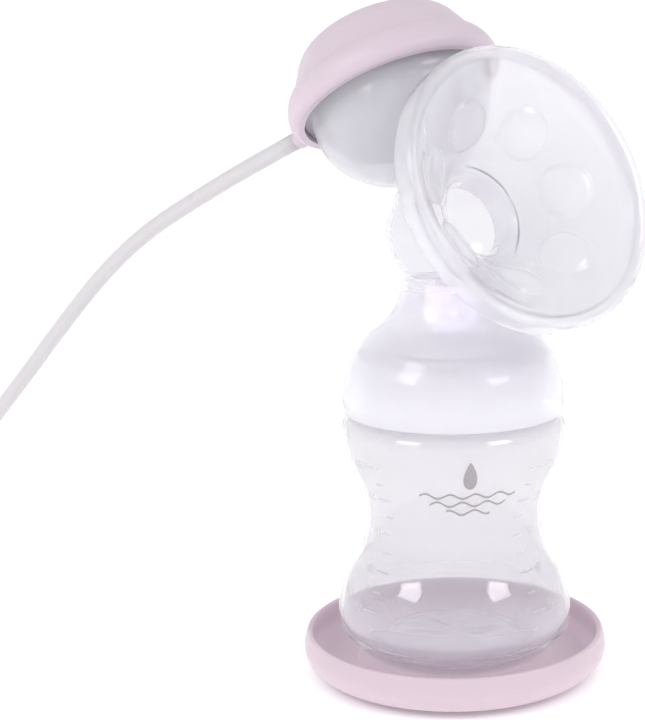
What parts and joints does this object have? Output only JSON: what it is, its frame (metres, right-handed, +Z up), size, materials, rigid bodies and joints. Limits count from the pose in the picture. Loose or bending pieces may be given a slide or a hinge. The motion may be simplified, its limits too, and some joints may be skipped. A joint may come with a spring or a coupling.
{
  "type": "breast pump",
  "caption": "Electric single breast pump: cushioned funnel, bowl with diaphragm and cap, duckbill valve, waisted milk bottle in a round stand dish, and suction hose.",
  "frame": {"origin": "centre of the stand dish's flat foot, on the surface that the pump stands on", "axes": "+Z up along the bottle's axis; +X towards the funnel; XZ is the plane of symmetry of the pump body"},
  "size_m": [0.3715, 0.1219, 0.1878],
  "materials": {
    "pink_plastic": "satin pale pink polypropylene",
    "clear_bottle": "clear, slightly grey moulded polypropylene",
    "clear_body": "clear, faintly lilac moulded polypropylene",
    "clear_silicone": "clear smooth silicone",
    "silicone": "translucent milky silicone",
    "white_plastic": "white moulded plastic",
    "hose": "translucent white silicone tubing"
  },
  "bodies": {
    "stand": {"stand_dish": "pink_plastic", "hose": "hose", "hose_coil": "hose", "hose_tail": "hose", "coil_tie": "white_plastic", "hose_end_connector": "white_plastic"},
    "pump_head": {"pump_dome": "clear_body", "pump_ball": "clear_body", "pump_bowl": "clear_body", "pump_funnel": "clear_body", "valve_sleeve": "silicone", "diaphragm_rim": "silicone"},
    "bottle_body": {"bottle_foot": "clear_bottle", "bottle_side": "clear_bottle", "bottle_neck": "clear_bottle"},
    "cap": {"cap_shell": "pink_plastic", "cap_inner_ring": "white_plastic", "hose_nozzle": "pink_plastic"},
    "diaphragm": {"diaphragm_cup": "silicone"},
    "cushion": {"massage_cushion": "clear_silicone"},
    "lip_front": {"valve_lip_front": "silicone"},
    "lip_back": {"valve_lip_back": "silicone"}
  },
  "joints": [
    {"name": "pump_lift", "type": "slide", "parent": "stand", "child": "pump_head", "axis": [0, 0, 1], "range_m": [0, 0.03]},
    {"name": "bottle_turn", "type": "hinge", "parent": "pump_head", "child": "bottle_body", "pos_m": [0, 0, 0.08], "axis": [0, 0, -1], "range_deg": [0, 300]},
    {"name": "cap_lift", "type": "slide", "parent": "pump_head", "child": "cap", "axis": [-0.5299, 0, 0.848], "range_m": [0, 0.03]},
    {"name": "diaphragm_stroke", "type": "slide", "parent": "pump_head", "child": "diaphragm", "axis": [-0.5299, 0, 0.848], "range_m": [0, 0.008], "stiffness_N_per_m": 60},
    {"name": "cushion_pull", "type": "slide", "parent": "pump_head", "child": "cushion", "axis": [0.9063, 0, 0.4226], "range_m": [0, 0.04]},
    {"name": "valve_open_front", "type": "hinge", "parent": "pump_head", "child": "lip_front", "pos_m": [0.0056, 0, 0.104], "axis": [0, -1, 0], "range_deg": [0, 8], "stiffness_Nm_per_rad": 0.002},
    {"name": "valve_open_back", "type": "hinge", "parent": "pump_head", "child": "lip_back", "pos_m": [-0.0056, 0, 0.104], "axis": [0, 1, 0], "range_deg": [0, 8], "stiffness_Nm_per_rad": 0.002}
  ],
  "couplings": [
    {"joint": "valve_open_back", "follows": "valve_open_front", "ratio": 1}
  ]
}
